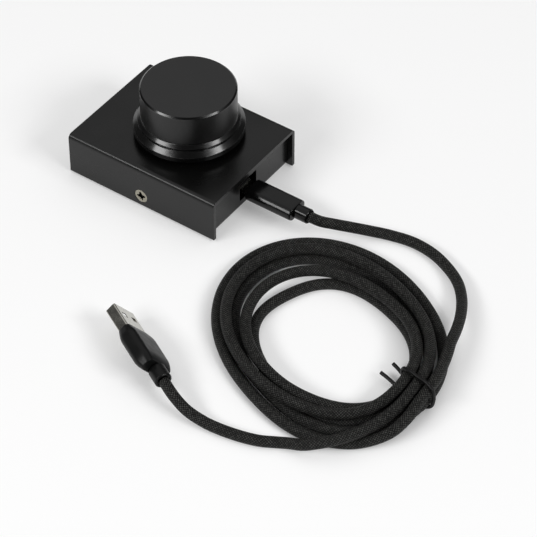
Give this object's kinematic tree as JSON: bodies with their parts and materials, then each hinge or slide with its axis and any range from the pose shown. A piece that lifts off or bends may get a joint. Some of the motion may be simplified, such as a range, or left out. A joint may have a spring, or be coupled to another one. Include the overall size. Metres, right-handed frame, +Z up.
{
  "type": "usb volume knob",
  "caption": "Desk volume control: large turned push-and-turn knob on a small sheet-metal box, with a detachable braided lead coiled beside it.",
  "frame": {"origin": "middle of the box on the surface that its feet stand on", "axes": "+X along the box towards its socket end, +Z up along the knob's axis"},
  "size_m": [0.1878, 0.1355, 0.0418],
  "materials": {
    "cover_steel": "fine matt black powder coat",
    "pan_steel": "fine matt black powder coat",
    "screw_steel": "bright zinc",
    "foot_rubber": "matt",
    "knob_metal": "black anodised, polished wall and brushed top",
    "grub_steel": "black oxide",
    "shaft_steel": "turned",
    "ring_steel": "spring steel",
    "rotor_plastic": "moulded",
    "contact_metal": "silvered spring brass",
    "bushing_metal": "die-cast, plated",
    "frame_steel": "tinned stamping",
    "housing_plastic": "moulded",
    "pin_metal": "tinned",
    "board_laminate": "green solder mask",
    "chip_plastic": "moulded",
    "crystal_can": "drawn can",
    "capacitor_ceramic": "ceramic",
    "resistor_ceramic": "ceramic",
    "insert_plastic": "moulded",
    "nickel": "nickel plated",
    "grip_vinyl": "satin overmould",
    "cord_braid": "braided sleeve",
    "tie_vinyl": "coated wire",
    "tongue_plastic": "moulded",
    "gold": "gold flash"
  },
  "bodies": {
    "base": {"top_cover": "cover_steel", "base_pan": "pan_steel", "cover_screws": "screw_steel", "rubber_feet": "foot_rubber", "encoder_bushing": "bushing_metal", "bushing_washer": "bushing_metal", "bushing_nut": "bushing_metal", "encoder_frame": "frame_steel", "encoder_body": "housing_plastic", "encoder_track": "contact_metal", "detent_spring": "ring_steel", "encoder_terminals": "pin_metal", "switch_dome": "contact_metal", "circuit_board": "board_laminate", "microcontroller": "chip_plastic", "crystal": "crystal_can", "capacitors": "capacitor_ceramic", "resistors": "resistor_ceramic", "socket_shell": "pin_metal", "socket_tongue": "insert_plastic", "device_plug_shell": "nickel", "device_plug_insert": "insert_plastic", "device_plug_grip": "grip_vinyl", "device_strain_relief": "grip_vinyl", "cord_lead": "cord_braid", "cord_coil": "cord_braid", "cord_tail": "cord_braid", "wire_tie": "tie_vinyl", "a_plug_strain_relief": "grip_vinyl", "a_plug_grip": "grip_vinyl", "a_plug_shell": "nickel", "a_plug_tongue": "tongue_plastic", "a_plug_contacts": "gold"},
    "rotor": {"encoder_rotor": "rotor_plastic", "encoder_wiper": "contact_metal"},
    "knob": {"knob": "knob_metal", "knob_set_screw": "grub_steel", "encoder_shaft": "shaft_steel", "shaft_retaining_ring": "ring_steel"},
    "plunger": {"push_plunger": "rotor_plastic"}
  },
  "joints": [
    {"name": "knob_turn", "type": "hinge", "parent": "base", "child": "rotor", "pos_m": [0.002, 0.0025, 0.0144], "axis": [0, 0, 1], "continuous": true},
    {"name": "knob_push", "type": "slide", "parent": "rotor", "child": "knob", "axis": [0, 0, -1], "range_m": [0, 0.0005], "stiffness_N_per_m": 4000, "springref_m": -0.0005},
    {"name": "plunger_push", "type": "slide", "parent": "base", "child": "plunger", "axis": [0, 0, -1], "range_m": [0, 0.0005], "deforming": ["switch_dome"]}
  ],
  "couplings": [
    {"joint": "plunger_push", "follows": "knob_push", "ratio": 1}
  ]
}
